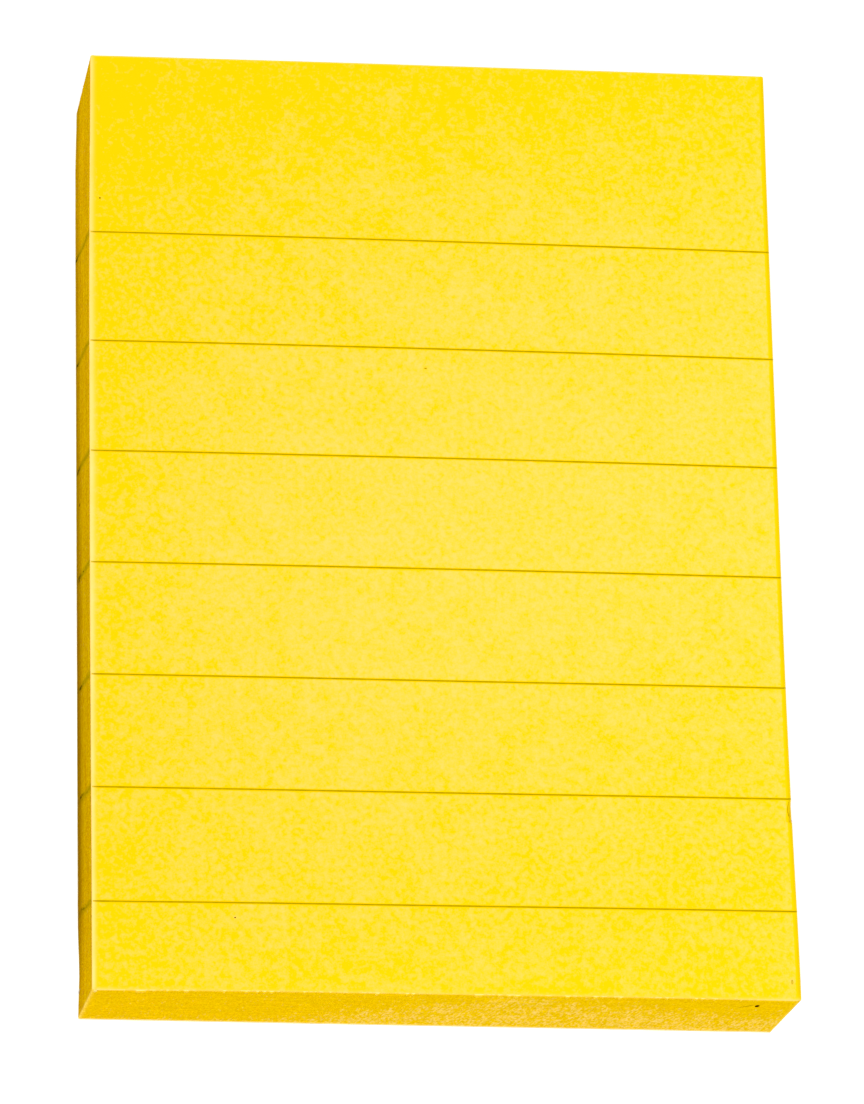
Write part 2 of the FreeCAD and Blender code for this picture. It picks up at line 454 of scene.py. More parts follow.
scored = add_node(tree, "ShaderNodeAttribute", {"attribute_name": "scored"}).outputs["Fac"]
swing = add_node(tree, "ShaderNodeMath", {"operation": "SUBTRACT"}, {0: tone.outputs["Result"], 1: 0.5})
brighter = add_node(tree, "ShaderNodeMath", {"operation": "MULTIPLY_ADD"}, {
    0: swing.outputs[0], 1: scored, 2: 0.5})
cut_paper = add_node(tree, "ShaderNodeMix", {"data_type": "RGBA"}, {
    "Factor": brighter.outputs[0], "A": linear("#C29000"), "B": linear("#E7C800")})
print(leaf_edges.name, "has grain", GRAIN_MM, "mm and strokes", STROKE_MM, "mm wide")

# %% [markdown]
# Torn fibre ends show as pale specks in clusters, most of them on the free end. They are the peaks of one
# noise, and the mark torn lifts more of it over the threshold.

# %% Torn fibre
TORN_MM = 0.13
TORN_GAIN = 0.238
CLUSTERING = 0.45
SPECK_FROM, SPECK_TO = 0.9, 1.15
tall_specks = add_node(tree, "ShaderNodeMapping", inputs={
    "Vector": place, "Scale": (1 / (TORN_MM * MM), 1 / (TORN_MM * MM), 0.3 / (TORN_MM * MM)),
    "Rotation": (0.2, -0.5, 0.9)})
specks = add_node(tree, "ShaderNodeTexNoise", inputs={
    "Vector": tall_specks.outputs[0], "Scale": 1.0, "Detail": 2.0, "Roughness": 0.5}).outputs["Fac"]
torn = add_node(tree, "ShaderNodeAttribute", {"attribute_name": "torn"}).outputs["Fac"]
clusters = add_node(tree, "ShaderNodeTexNoise", inputs={
    "Vector": tall_specks.outputs[0], "Scale": 0.3, "Detail": 1.0}).outputs["Fac"]
clustered = add_node(tree, "ShaderNodeMath", {"operation": "MULTIPLY_ADD"}, {
    0: clusters, 1: CLUSTERING, 2: specks})
speck_level = add_node(tree, "ShaderNodeMath", {"operation": "MULTIPLY_ADD"}, {
    0: torn, 1: TORN_GAIN, 2: clustered.outputs[0]})
speck_mask = add_node(tree, "ShaderNodeMapRange", inputs={
    "Value": speck_level.outputs[0], "From Min": SPECK_FROM, "From Max": SPECK_TO})
specked = add_node(tree, "ShaderNodeMix", {"data_type": "RGBA"}, {
    "Factor": speck_mask.outputs[0], "A": cut_paper.outputs["Result"], "B": linear("#DFBE5E")})
print("torn fibre", TORN_MM, "mm wide")

# %% [markdown]
# Ruled lines run off the sheets, and their ink tints the sides in slanting trails. Three marks lie over it:
# burnished, where clamp and blade rubbed the paper warm; a painted shade, which darkens the long sides; and the
# arris, where a corner is worn pale and a painted highlight lies along it.

# %% Ink and wear on the cut
axes = add_node(tree, "ShaderNodeSeparateXYZ", inputs={"Vector": place})
slant = add_node(tree, "ShaderNodeMath", {"operation": "MULTIPLY_ADD"}, {
    0: axes.outputs["Z"], 1: CREEP / (TOP - BACKING), 2: axes.outputs["Y"]})
tint = near_line(tree, axes.outputs["Y"], slant.outputs[0], CREEP, (0.0, 0.06), 0.6)
inked = add_node(tree, "ShaderNodeMix", {"data_type": "RGBA"}, {
    "Factor": tint, "A": specked.outputs["Result"], "B": linear("#948C00")})
# Over the burnished wear, a painted shade darkens the sides and the arris is worn pale under a painted
# highlight.
worn_and_lit_paper = marked(tree, inked.outputs["Result"], (
    ("burnished", "#CF8600"), ("painted_side_shade", "#734900"), ("arris_wear_and_highlight", "#F0D264")))
relief = add_node(tree, "ShaderNodeBump", inputs={"Height": specks, "Strength": 0.2, "Distance": 0.00003})
edge = add_node(tree, "ShaderNodeBsdfPrincipled", inputs={
    "Base Color": worn_and_lit_paper, "Roughness": 0.95, "Specular IOR Level": 0.0, "Normal": relief.outputs[0]})
tree.links.new(edge.outputs[0], output.inputs[0])
print(leaf_edges.name, len(tree.nodes), "nodes")

# %% [markdown]
# ## The leaves under the top note
#
# Ninety-nine leaves are one skin, as they are one solid in the frame. A striped texture would stay flat at
# the silhouette, so each leaf has three outlines: a nick where it meets the leaf below, then its lower and
# its upper lip. The leaves differ a little in thickness, and each lies about a hundredth of a millimetre out.

# %% One outline of the stack
CORNER = 0.1


def outline(step):
    """Points round the plan, counter-clockwise from the free left corner, each corner a quarter round.

    Each point has its shares across the width and along the length, the offset that rounds its corner, and
    the outward direction of the cut there. A corner's offset is its radius less its cosine and sine shares.
    """
    across, along, offset_x, offset_y, out_x, out_y = [], [], [], [], [], []
    close, far = np.array([0.0, 0.1, 0.25, 0.5, 1.0]), 1.6
    turns = np.radians([15, 35, 55, 75])
    for side in range(4):
        length = 2 * (HALF_WIDTH if side % 2 == 0 else HALF_LENGTH)
        inner = np.linspace(far, length - far, int((length - 2 * far) / step))
        run = np.concatenate([CORNER + close, inner, (length - CORNER - close)[::-1]]) / length
        ahead = run if side < 2 else 1 - run
        straight, corner = np.zeros_like(run), np.ones_like(turns)
        down, right, up, left = (side == n for n in range(4))
        across += [ahead if down or up else straight + right, corner * (down or right)]
        along += [ahead if right or left else straight + up, corner * (right or up)]
        start = math.radians((-90, 0, 90, 180)[side])
        x_turn, y_turn = np.cos(start + turns), np.sin(start + turns)
        offset_x += [straight, CORNER * (x_turn - np.sign(x_turn))]
        offset_y += [straight, CORNER * (y_turn - np.sign(y_turn))]
        out_x += [straight + math.cos(start), x_turn]
        out_y += [straight + math.sin(start), y_turn]
    return [np.concatenate(parts) for parts in (across, along, offset_x, offset_y, out_x, out_y)]


STEP = 0.66
across, along, offset_x, offset_y, out_x, out_y = outline(STEP)
print("outline of", len(across), "points")

# %% Outlines of the leaves
INSET = 0.02
NICK = 0.016
LIP_SHARE = 0.22  # of a leaf's thickness, from its face to its lip
UNEVENNESS = 0.12  # of a leaf's thickness
STRAY = 0.004  # of the leaves' slip and of their frayed outlines
chance = np.random.default_rng(11)

thickness = 1 + UNEVENNESS * chance.standard_normal(LEAVES)
leaf_foot = np.concatenate([[0], np.cumsum(thickness)]) / thickness.sum()
foot, head = leaf_foot[:-1], leaf_foot[1:]
lip = LIP_SHARE * (head - foot)
level = np.append(np.stack([foot, foot + lip, head - lip], axis=1).ravel(), 1.0)[:, None]
slip = STRAY * chance.standard_normal((2, LEAVES)).clip(-2, 2)
slip_x, slip_y = (np.append(np.repeat(one, 3), 0)[:, None] for one in slip)
is_nick = (np.arange(len(level)) % 3 == 0)[:, None]
fray = STRAY * chance.standard_normal((len(level), len(across)))
inset = INSET + NICK * is_nick + fray

block_x, block_y = between_cuts(across, along, level, offset_x - out_x * inset + slip_x,
                                offset_y - out_y * inset + slip_y)
block_x = block_x.clip(-HALF_WIDTH, HALF_WIDTH)
block_z = BACKING + level * (note_height(block_x, block_y) - LEAF - BACKING)
print(block_x.shape, "outlines and points")

# %% [markdown]
# The marks tell the material of the cut where its wear and its painted light are. The blade tore fibre on the
# free end, low at the left and nearly to the top right of the middle. The long sides are painted darker, more
# on the left than on the right: most along the foot, as a painted shade, and a third of the way from the free
# end. The clamp burnished them near both ends. The free corners are worn pale, under a painted highlight.

# %% Marks on the leaves
on_free_end = np.clip(-out_y, 0, 1)
on_side = np.abs(out_x)
along_pad = (block_y + HALF_LENGTH) / (2 * HALF_LENGTH)
scored = 1.7 + 3.4 * on_side + 0 * level
layered = 0.4 - 0.25 * on_free_end + 0 * level
reach = (0.05 + 0.24 * (1 + np.tanh((block_x + 6) / 2.5)) + 0.5 * bell(block_x - 4, 5.5)
         + 0.08 * bell(block_x - 11.5, 2.5))
torn = on_free_end * ((reach - level) / 0.45 + 0.5).clip(0, 1) * (1 - 0.25 * level)
# Painted shade: the long sides are painted darker, more on the left than on the right, most towards the foot,
# and also a third of the way from the free end.
near_foot = bell((level - 0.08).clip(0), 0.24 - 0.12 * along_pad ** 3)
shade_by_side = 0.7 * np.clip(-out_x, 0, 1) + 0.45 * np.clip(out_x, 0, 1)
mid_side_darkening = ((0.14 + 0.17 * bell(along_pad - 0.3, 0.3)) * (1 - 0.85 * bell(along_pad, 0.1))
           - 0.09 * bell(along_pad - 0.93, 0.09))
painted_side_shade = shade_by_side * ((1.3 - 0.7 * level) * mid_side_darkening
                 + (0.85 - 0.4 * along_pad) * (1 - 0.9 * bell(along_pad, 0.07)) * near_foot)
burnished = (on_side * (0.1 + 0.12 * bell(along_pad - 0.85, 0.25) + 0.12 * bell(along_pad, 0.25))
             + 0.07 * on_free_end * (-block_x / HALF_WIDTH).clip(0) ** 3)
# The free corners are worn pale, and a painted highlight lies along them. The free end is also paler at its
# foot.
leaf_paleness = np.append(np.repeat(0.4 + 0.6 * chance.random(LEAVES), 3), 1)[:, None]
at_free_corner = (bell(block_y - free_edge(across, level) - 0.04, 0.065)
                  * bell(np.abs(block_x) - HALF_WIDTH, 0.12))
arris_wear_and_highlight = np.maximum(leaf_paleness * at_free_corner, 0.3 * on_free_end * bell(level, 0.02))
marks = {"torn": torn, "painted_side_shade": painted_side_shade.clip(0, 1), "burnished": burnished, "arris_wear_and_highlight": arris_wear_and_highlight,
         "scored": scored, "layered": layered}
print("strongest marks", {mark: round(float(values.max()), 2) for mark, values in marks.items()})

# %% Leaf block
CLEAR = 0.015  # between the leaves and the top note

# The upper side is rings that shrink to the middle, because it dips and rises with the note that lies on it.
shrink = np.linspace(0.99, 0.03, 16)[:, None]
cover_x, cover_y = block_x[-1] * shrink, block_y[-1] * shrink
cover_z = note_height(cover_x, cover_y) - LEAF - CLEAR
skin = [np.concatenate(pair) for pair in ((block_x, cover_x), (block_y, cover_y), (block_z, cover_z))]

rings, around = skin[0].shape
underside = np.arange(around)[::-1][None, :]
middle = (rings - 1) * around + np.arange(around)[None, :]
note_leaves = make_piece(
    "note_leaves", np.stack(skin, axis=-1), [grid_faces(rings, around, closed=True), underside, middle],
    leaf_edges, marks={mark: np.pad(values, ((0, len(shrink)), (0, 0))) for mark, values in marks.items()})
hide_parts("note_stack")

# %% [markdown]
# ## The top note
#
# The top note is a leaf of its own, 0.08 mm thick, because it is what the eye reads first. It is a grid of
# points from cut to cut with its rows and columns crowded at the edges, where the blade raised a burr of a
# few hundredths of a millimetre. Near the free end of the right-hand edge it has a small nick.

# %% Outline of the top note
NICK_FROM, NICK_TO = -14.85, -16.03
NICK_DEPTH = 0.07
EDGE_MARGINS = [0.0, 0.025, 0.05, 0.08, 0.11, 0.15, 0.2, 0.27, 0.36, 0.5]


def crowded(span, step):
    """Distances from 0 to span: even steps in the middle, and finer ones in the margins at both ends."""
    inner = np.linspace(EDGE_MARGINS[-1], span - EDGE_MARGINS[-1], int(span / step))
    return np.concatenate([EDGE_MARGINS[:-1], inner, span - np.array(EDGE_MARGINS[:-1])[::-1]])


def corner_inset(distance):
    """How far a long edge steps in near a corner: a quarter round of the corner's radius."""
    inside = np.clip(CORNER - distance, 0, CORNER)
    return CORNER - np.sqrt(CORNER ** 2 - inside ** 2)


def nick_share(y):
    """1 at the nick's abrupt end, falling to 0 where it starts, and 0 outside it."""
    into = (NICK_FROM - y) / (NICK_FROM - NICK_TO)
    return np.where(into > 1, 0, into.clip(0, 1) ** 0.6)


nick_rows = HALF_LENGTH + np.arange(NICK_TO - 0.25, NICK_FROM + 0.25, 0.08)
along_mm = np.unique(np.concatenate([crowded(2 * HALF_LENGTH, 0.7), nick_rows]).round(3))
sheet_across = (crowded(2 * HALF_WIDTH, 0.3) / (2 * HALF_WIDTH))[None, :]
sheet_along = (along_mm / (2 * HALF_LENGTH))[:, None]
sheet_free = free_edge(sheet_across, 1.0) + INSET
sheet_glued = glued_edge(sheet_across, 1.0) - 0.005
sheet_y = sheet_free + (sheet_glued - sheet_free) * sheet_along
from_end = np.minimum(along_mm, 2 * HALF_LENGTH - along_mm)[:, None]
sheet_left = left_edge(sheet_y, 1.0) + corner_inset(from_end) + 0.01
sheet_right = right_edge(sheet_y, 1.0) - corner_inset(from_end) - NICK_DEPTH * nick_share(sheet_y) - 0.01
sheet_x = sheet_left + (sheet_right - sheet_left) * sheet_across
print(sheet_x.shape, "rows and columns")

# %% Faces of the top note
from_left = sheet_x - sheet_left
from_right = sheet_right - sheet_x
from_free = sheet_y - sheet_free
burr = BURR * (bell(from_left, 0.12) + 0.6 * bell(from_right, 0.1)) + 0.4 * BURR * bell(from_free, 0.08)
dent = 0.05 * bell(from_right, 0.16) * nick_share(sheet_y)
face_z = note_height(sheet_x, sheet_y) + burr.clip(0, BURR) - dent
back_z = note_height(sheet_x, sheet_y) - LEAF + 0.002

rows, columns = sheet_x.shape
number = np.arange(rows * columns).reshape(rows, columns)
rim = np.concatenate([number[0, :-1], number[:-1, -1], number[-1, :0:-1], number[:0:-1, 0]])
below = rows * columns
rim_faces = np.stack([rim, rim + below, np.roll(rim, -1) + below, np.roll(rim, -1)], axis=-1)[:, ::-1]
sheet_points = np.concatenate([
    np.stack([sheet_x, sheet_y, z], axis=-1).reshape(-1, 3) for z in (face_z, back_z)])

print("burr up to", round(float(burr.max()), 3), "mm")

# %% Marks on the top note
# The sheen mark paints a sheen over the middle and the right of the note. It is weaker, and so deeper, near the
# left cut and the glued end. The last quarter millimetre at the right is painted shade.
right_rim_shade = ((0.25 - from_right) / 0.08).clip(0, 1)
painted_sheen = (0.66 * bell(sheet_x - 3, 35) * bell(sheet_y + 1 - 0.25 * sheet_x, 26) - 0.08
         - (0.18 + 0.08 * bell(sheet_y - 5, 6)) * bell(from_left, 4)
         - 0.17 * bell(HALF_LENGTH - sheet_y, 5.7) + 0.06 * bell(from_right, 3)
         + (0.1 + 0.1 * bell(from_free, 9)) * bell(from_right - 0.4, 0.4) - 1.6 * right_rim_shade)
# The left rim is pale: frayed fibre, with a painted highlight over it. The free corners are paler too.
rim_width = 0.12 + 0.07 * bell(sheet_y - 3, 14)
frayed_and_lit = bell((from_left - 0.06).clip(0), rim_width) * (0.78 - 0.25 * bell(sheet_y - HALF_LENGTH, 14))
frayed_and_lit = frayed_and_lit * (1 + 0.2 * np.sin(5.1 * sheet_y) * np.sin(2.3 * sheet_y))
at_corners = np.maximum(bell(sheet_x - 17.5, 2.2), bell(sheet_x + 17.7, 0.8))
frayed_and_lit = np.maximum(frayed_and_lit, (0.2 + 0.3 * at_corners) * bell(from_free, 0.11))
# The right rim is deeper: pressed fibre, with a painted shade over it.
drift = 0.9 + 0.3 * np.sin(2.3 * sheet_y) * np.sin(6.1 * sheet_y)
pressed_and_shaded = bell((from_right - 0.09).clip(0), 0.06) * drift
top_note = make_piece(
    "top_note", sheet_points,
    [grid_faces(rows, columns), rim_faces, grid_faces(rows, columns, below)[:, ::-1]], paper_face, True,
    {"painted_sheen": np.tile(painted_sheen.ravel(), 2), "pressed_and_shaded": np.tile(pressed_and_shaded.ravel(), 2),
     "frayed_and_lit": np.concatenate([frayed_and_lit.ravel(), 0 * frayed_and_lit.ravel()])})

# %% [markdown]
# ## The frayed lip
#
# The blade doesn't leave a clean arris on the top note. It raises a lip of loose fibre, and at the free end
# it drags bits of the note down over the cut. The lip is a small closed section carried round the outline.
# Drifting noise moves its lower edge: about a tenth of a millimetre along the sides, and in separate teeth of
# up to half a millimetre at the free end. By the two free corners it is paler.

# %% Noise along an edge
def drifting_noise(distance, spacing, seed):
    """Random heights at even spacings, joined by smooth cosine steps, read at each distance."""
    heights = np.random.default_rng(seed).uniform(-1, 1, int(np.max(distance) / spacing) + 3)
    cell = np.floor(distance / spacing).astype(int)
    part = distance / spacing - cell
    ease = (1 - np.cos(np.pi * part)) / 2
    return heights[cell] * (1 - ease) + heights[cell + 1] * ease


LIP_STEP = 0.05
LONGEST_TOOTH = 0.4
lip_across, lip_along, lip_dx, lip_dy, lip_out_x, lip_out_y = outline(LIP_STEP)
lip_x, lip_y = between_cuts(lip_across, lip_along, 1.0, lip_dx, lip_dy)
lip_x = lip_x - NICK_DEPTH * nick_share(lip_y) * (lip_out_x > 0.9)
travelled = np.cumsum(np.hypot(np.diff(lip_x, prepend=lip_x[0]), np.diff(lip_y, prepend=lip_y[0])))
bits_of_fibre = (0.6 * drifting_noise(travelled, 0.17, 5) + 0.5 * drifting_noise(travelled, 0.6, 6)
                 + 0.25 * drifting_noise(travelled, 0.07, 7))
print(len(lip_x), "points round, noise", bits_of_fibre.min().round(2), "to", bits_of_fibre.max().round(2))

# %% Frayed lip
at_free_end = np.clip(-lip_out_y, 0, 1)
teeth = ((bits_of_fibre - 0.08) / 0.6).clip(0, 1) * at_free_end
near_corner = np.maximum(bell(lip_x - 17.5, 2.2), 1.5 * bell(lip_x + 17.7, 0.8)) * at_free_end
hang = 0.015 + 0.05 * (bits_of_fibre + 0.8).clip(0, 2) + LONGEST_TOOTH * teeth + 0.04 * near_corner
ragged = 0.022 * (1 - bits_of_fibre).clip(0, 2) * (1 - at_free_end) + 0.035 * at_free_end * (1 - teeth)
raised = BURR * (np.clip(-lip_out_x, 0, 1) + 0.6 * np.clip(lip_out_x, 0, 1) + 0.4 * at_free_end).clip(0, 1)
flat = np.zeros_like(lip_x)
inwards = np.stack([flat + 0.1, flat + 0.06, ragged + 0.012, ragged, ragged + 0.004, flat + 0.05])
rise = np.stack([flat - 0.03, 0.8 * raised + 0.003, raised + 0.002, 0.4 * raised - 0.01, -hang, -hang + 0.02])
lip_ring_x = (lip_x - lip_out_x * inwards).clip(-HALF_WIDTH, HALF_WIDTH)
lip_ring_y = lip_y - lip_out_y * inwards
lip_ring_z = (note_height(lip_ring_x, lip_ring_y) + rise).clip(0, TOP)

at_right = np.clip(lip_out_x, 0, 1)
# The lip is pale on the left, frayed fibre under a painted highlight, and at the free end, where torn fibre
# hangs.
lip_frayed_and_lit = (0.8 * np.clip(-lip_out_x, 0, 1)
              + (0.3 + 0.6 * (teeth > 0.1) + 0.6 * near_corner).clip(0, 0.9) * at_free_end
              + 0.3 * np.clip(lip_out_y, 0, 1))
lip_count = len(lip_x)
section, station = np.mgrid[0:6, 0:lip_count]
after, beside = (section + 1) % 6, (station + 1) % lip_count
lip_faces = np.stack([section * lip_count + station, after * lip_count + station,
                      after * lip_count + beside, section * lip_count + beside], axis=-1).reshape(-1, 4)
shaded = np.array([1, 1, 1, 0, 0, 0])[:, None]
rounded = np.array([0, 0, 0.8, 1, 0, 0])[:, None]
# On the right-hand lip the rounded rings are painted paler, a painted highlight, and the others take the
# pressed colour with its painted shade and no painted sheen.
paler = lip_frayed_and_lit * shaded + 0.3 * at_right * rounded + 0.55 * near_corner * (1 - shaded)
frayed_lip = make_piece(
    "frayed_lip", np.stack([lip_ring_x, lip_ring_y, lip_ring_z], axis=-1), [lip_faces], paper_face, True,
    {"frayed_and_lit": paler.clip(0, 1), "painted_sheen": np.broadcast_to(-1.0 * at_right, lip_ring_x.shape),
     "pressed_and_shaded": at_right * (1 - rounded)})

# %% [markdown]
# ## Ruling
#
# The lines are offset print in a thin olive ink, run off both edges of the sheet before cutting. The paper's
# material could paint them, but a strip of ink film that follows the paper stays crisp in every view. Offset
# ink soaks into uncoated paper and takes its matt finish, darker and lighter along the line, and it is rubbed
# thin at the left-hand edge.

# %% Ruling ink
UPTAKE_MM = 0.5


def mottled(tree, size, settings, dark, light):
    """A colour that drifts between two, by a noise in Object coordinates of a size in millimetres."""
    place = add_node(tree, "ShaderNodeTexCoord").outputs["Object"]
    noise = add_node(tree, "ShaderNodeTexNoise", inputs={
        "Vector": place, "Scale": 1 / (size * MM), **settings})
    return add_node(tree, "ShaderNodeMix", {"data_type": "RGBA"}, {
        "Factor": noise.outputs["Fac"], "A": linear(dark), "B": linear(light)}).outputs["Result"]


ruling_ink, tree, output = new_material("offset_ruling_ink")
laid = mottled(tree, UPTAKE_MM, {"Detail": 4.0, "Roughness": 0.7}, "#967C00", "#D0AF00")
laid = marked(tree, laid, (("pooled", "#4E3C00"), ("rubbed", "#E2C234")))
ink = add_node(tree, "ShaderNodeBsdfPrincipled", inputs={
    "Base Color": laid, "Roughness": 0.8, "Specular IOR Level": 0.0})
tree.links.new(ink.outputs[0], output.inputs[0])
print(ruling_ink.name, len(tree.nodes), "nodes")

# %% Ruled lines
INK_FILM = 0.004
INK_ROOT = 0.002


def closed_strips(middles, half_across, rise):
    """Closed four-sided ribbons along rows of middle points.

    Each cross-section is a rectangle, half the width to either side in y and from just inside the paper up to
    the film's height. The first and the last one close the ends.
    """
    section = np.array([
        (-half_across, -INK_ROOT), (half_across, -INK_ROOT), (half_across, rise), (-half_across, rise)])
    points = np.repeat(middles[:, :, None, :], 4, axis=2)
    points[..., 1:] += section
    strips, stations = middles.shape[:2]
    groups = []
    for strip in range(strips):
        first = strip * stations * 4
        end = first + (stations - 1) * 4
        groups.append(grid_faces(stations, 4, first, closed=True))
        groups.append(np.array([first + np.arange(4)[::-1], end + np.arange(4)]))
    return points, groups


stations = np.linspace(0, 1, 240)[None, :] ** 1.15
line_start = left_edge(line_y, 1.0)[:, None] + 0.06
line_finish = right_edge(line_y, 1.0)[:, None] - 0.005
line_x = line_start + (line_finish - line_start) * stations
line_rows = np.broadcast_to(line_y[:, None], line_x.shape)
ink_z = (note_height(line_x, line_rows) + BURR * bell(line_x - line_start + 0.05, 0.12)
         + 0.6 * BURR * bell(line_finish - line_x, 0.1))
ribbons = closed_strips(np.stack([line_x, line_rows, ink_z], axis=-1), LINE_WIDTH / 2, INK_FILM)
rubbed = np.repeat(0.85 * bell(line_x - line_start, 0.12), 4)
ruled_lines = make_piece("ruled_lines", *ribbons, ruling_ink, True, {"rubbed": rubbed})

# %% [markdown]
# ## Where the lines leave the leaves
#
# Every leaf is ruled, and each line runs off the cut. From the side the hundred line ends make a faint
# slanting trail, because the printed sheets had crept by a millimetre before they were cut. Each end is a
# small closed chip of ink on its leaf's lip, faint on the upper leaves and darkest low down. Towards the free
# end the trails stop a little above the foot, and some leaves show no end at all.

# %% Line ends
mid_leaf = (foot + head) / 2
TRAIL_STEP = 0.045  # how much higher each next trail stops, as a share of the pad's height
CHIP_SHARE = 0.38  # half a chip's height, as a share of its leaf's thickness
CHIP_DEPTH = 0.008
BOX_FACES = np.array([(0, 3, 2, 1), (4, 5, 6, 7), (0, 1, 5, 4), (1, 2, 6, 5), (2, 3, 7, 6), (3, 0, 4, 7)])
BOX_CORNERS = np.array([(x, y, z) for z in (-1, 1) for x, y in SQUARE])


def ink_chips(side):
    """One closed chip a leaf and line on the left (-1) or right (+1) cut: a thin box most of a leaf high.

    Its place drifts towards the glued end by the creep times its depth in the pad, and strays a little.
    """
    leaf = np.broadcast_to(mid_leaf[:, None], (LEAVES, LINES))
    stray = 0.03 * chance.standard_normal(leaf.shape) + 0.07 * np.sin(9 * leaf + 2.1 * np.arange(LINES))
    y = line_y + (CREEP + 0.03 * (np.arange(LINES) - 3)) * (1 - leaf) ** 0.9 + stray
    edge_of = left_edge if side < 0 else right_edge
    x = edge_of(y, leaf) - side * INSET + slip[0][:, None]
    z = BACKING + leaf * (note_height(x, y) - LEAF - BACKING)
    length = 0.02 + (0.03 + 0.05 * (1 - leaf)) * chance.random(leaf.shape)
    height = np.broadcast_to(((head - foot) * (TOP - BACKING) * CHIP_SHARE)[:, None], leaf.shape)
    half = np.stack([np.full(leaf.shape, CHIP_DEPTH), length, height], axis=-1)
    runs_out = TRAIL_STEP * np.arange(LINES)
    shown = (chance.random(leaf.shape) < 0.5 + 0.4 * (1 - leaf)) & (leaf > runs_out)
    boxes = np.stack([x, y, z], axis=-1)[:, :, None] + BOX_CORNERS * half[:, :, None]
    darker = 0.05 + 0.95 * bell(leaf - runs_out - 0.05, 0.17) + 0.12 * chance.standard_normal(leaf.shape)
    return boxes[shown], np.repeat(darker[shown], 8)


left_chips, left_darker = ink_chips(-1)
right_chips, right_darker = ink_chips(1)
chips = np.concatenate([left_chips, right_chips])
chip_faces = (np.arange(len(chips))[:, None, None] * 8 + BOX_FACES[None]).reshape(-1, 4)
line_ends = make_piece("line_ends", chips, [chip_faces], ruling_ink, False, {
    "pooled": np.concatenate([left_darker, right_darker]).clip(0.1, 1)})

# %% [markdown]
# ## Backing sheet
#
# Under the last note a release sheet covers the adhesive: a pale siliconised paper, smoother than the notes,
# with a painted shade darkening its cut. It was cut with them, so it takes the same outline, at the foot of
# the stack, with the same nip at the left. The plain solid of the frame would stand out of the nip.

# %% Release paper
RELEASE_CLOUD_MM = 0.6
release_paper, tree, output = new_material("siliconised_release_paper")
cream = mottled(tree, RELEASE_CLOUD_MM, {"Detail": 4.0}, "#E4DAAE", "#EEE6C2")
# The colour of the cut is a painted contact shade, darker and greyer than the sheet.
painted_edge_shade = mottled(tree, RELEASE_CLOUD_MM, {"Detail": 4.0}, "#AC9C4C", "#B9AC5C")
cut = add_node(tree, "ShaderNodeAttribute", {"attribute_name": "cut"}).outputs["Fac"]
sheet_colour = add_node(tree, "ShaderNodeMix", {"data_type": "RGBA"}, {
    "Factor": cut, "A": cream, "B": painted_edge_shade})
release = add_node(tree, "ShaderNodeBsdfPrincipled", inputs={
    "Base Color": sheet_colour.outputs["Result"], "Roughness": 0.45})
tree.links.new(release.outputs[0], output.inputs[0])
print(release_paper.name, len(tree.nodes), "nodes")

# %% Release sheet
sheet_levels = np.array([0.0, 0.12, 0.88, 1.0])[:, None]
tuck = np.array([0.01, 0.0, 0.0, 0.01])[:, None]
backing_x, backing_y = between_cuts(across, along, 0.0, offset_x - out_x * (0.004 + tuck),
                                    offset_y - out_y * (tuck - 0.008))
backing_x, backing_y = backing_x.clip(-HALF_WIDTH, HALF_WIDTH), backing_y.clip(-HALF_LENGTH, HALF_LENGTH)
backing_z = np.broadcast_to(sheet_levels * BACKING, backing_x.shape)
release_sheet = make_piece(
    "release_sheet", np.stack([backing_x, backing_y, backing_z], axis=-1),
    [grid_faces(4, around, closed=True), underside, 3 * around + np.arange(around)[None, :]], release_paper,
    marks={"cut": np.broadcast_to(np.array([0.0, 1.0, 1.0, 0.0])[:, None], backing_x.shape)})
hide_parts("backing_sheet")

# %% [markdown]
# ## Specks and a stray fibre
#
# Wood-free pulp still holds a few dark bits of bark: two on the top note, two on the free end and three on the
# left side. They are tiny closed lozenges. Beside one on the free end, a scratch is drawn as a thin tube of
# bark colour, a painted shadow in its groove. The top note also has a crease beside its nick, drawn as a thin
# tube of ink, a painted shadow, and two spots of ink, and a grey textile fibre has caught under the lowest
# leaves by the nip.

# %% Bark specks
BARK_GRAIN_MM = 0.05
bark, tree, output = new_material("bark_bits_in_pulp")
# Bark is a matt dark brown with no sheen, a little redder where it is thin.
brown = mottled(tree, BARK_GRAIN_MM, {}, "#200A00", "#4A2400")
bit = add_node(tree, "ShaderNodeBsdfPrincipled", inputs={
    "Base Color": brown, "Roughness": 0.9, "Specular IOR Level": 0.0})
tree.links.new(bit.outputs[0], output.inputs[0])


def lozenges(bits):
    """Closed bits from their places and half sizes: two poles and three rings of eight on an ellipsoid."""
    centres, halves = (np.array(values)[:, None, :] for values in zip(*bits))
    turn = np.linspace(0, 2 * np.pi, 8, endpoint=False)
    rise = np.radians([-45, 0, 45])[:, None]
    ring = np.stack([np.cos(rise) * np.cos(turn), np.cos(rise) * np.sin(turn),
                     np.sin(rise) + 0 * turn], axis=-1).reshape(-1, 3)
    unit = np.concatenate([[(0, 0, -1)], ring, [(0, 0, 1)]])
    low = np.stack([np.zeros(8, int), 1 + (np.arange(8) + 1) % 8, 1 + np.arange(8)], axis=-1)
    high = np.stack([17 + np.arange(8), 17 + (np.arange(8) + 1) % 8, np.full(8, 25)], axis=-1)
    first = np.arange(len(bits))[:, None, None] * len(unit)
    return centres + unit * halves, [
        (low + first).reshape(-1, 3), (grid_faces(3, 8, 1, True) + first).reshape(-1, 4),
        (high + first).reshape(-1, 3)]


def on_top(x, y):
    """A point on the top note's face."""
    return x, y, float(note_height(x, y)) + 0.002


def on_left(y, z):
    """A point on the left cut."""
    return float(left_edge(y, z / TOP)) + 0.018, y, z


def on_free(x, z):
    """A point on the cut of the free end."""
    return x, float(free_edge((x + HALF_WIDTH) / (2 * HALF_WIDTH), z / TOP)) + 0.016, z


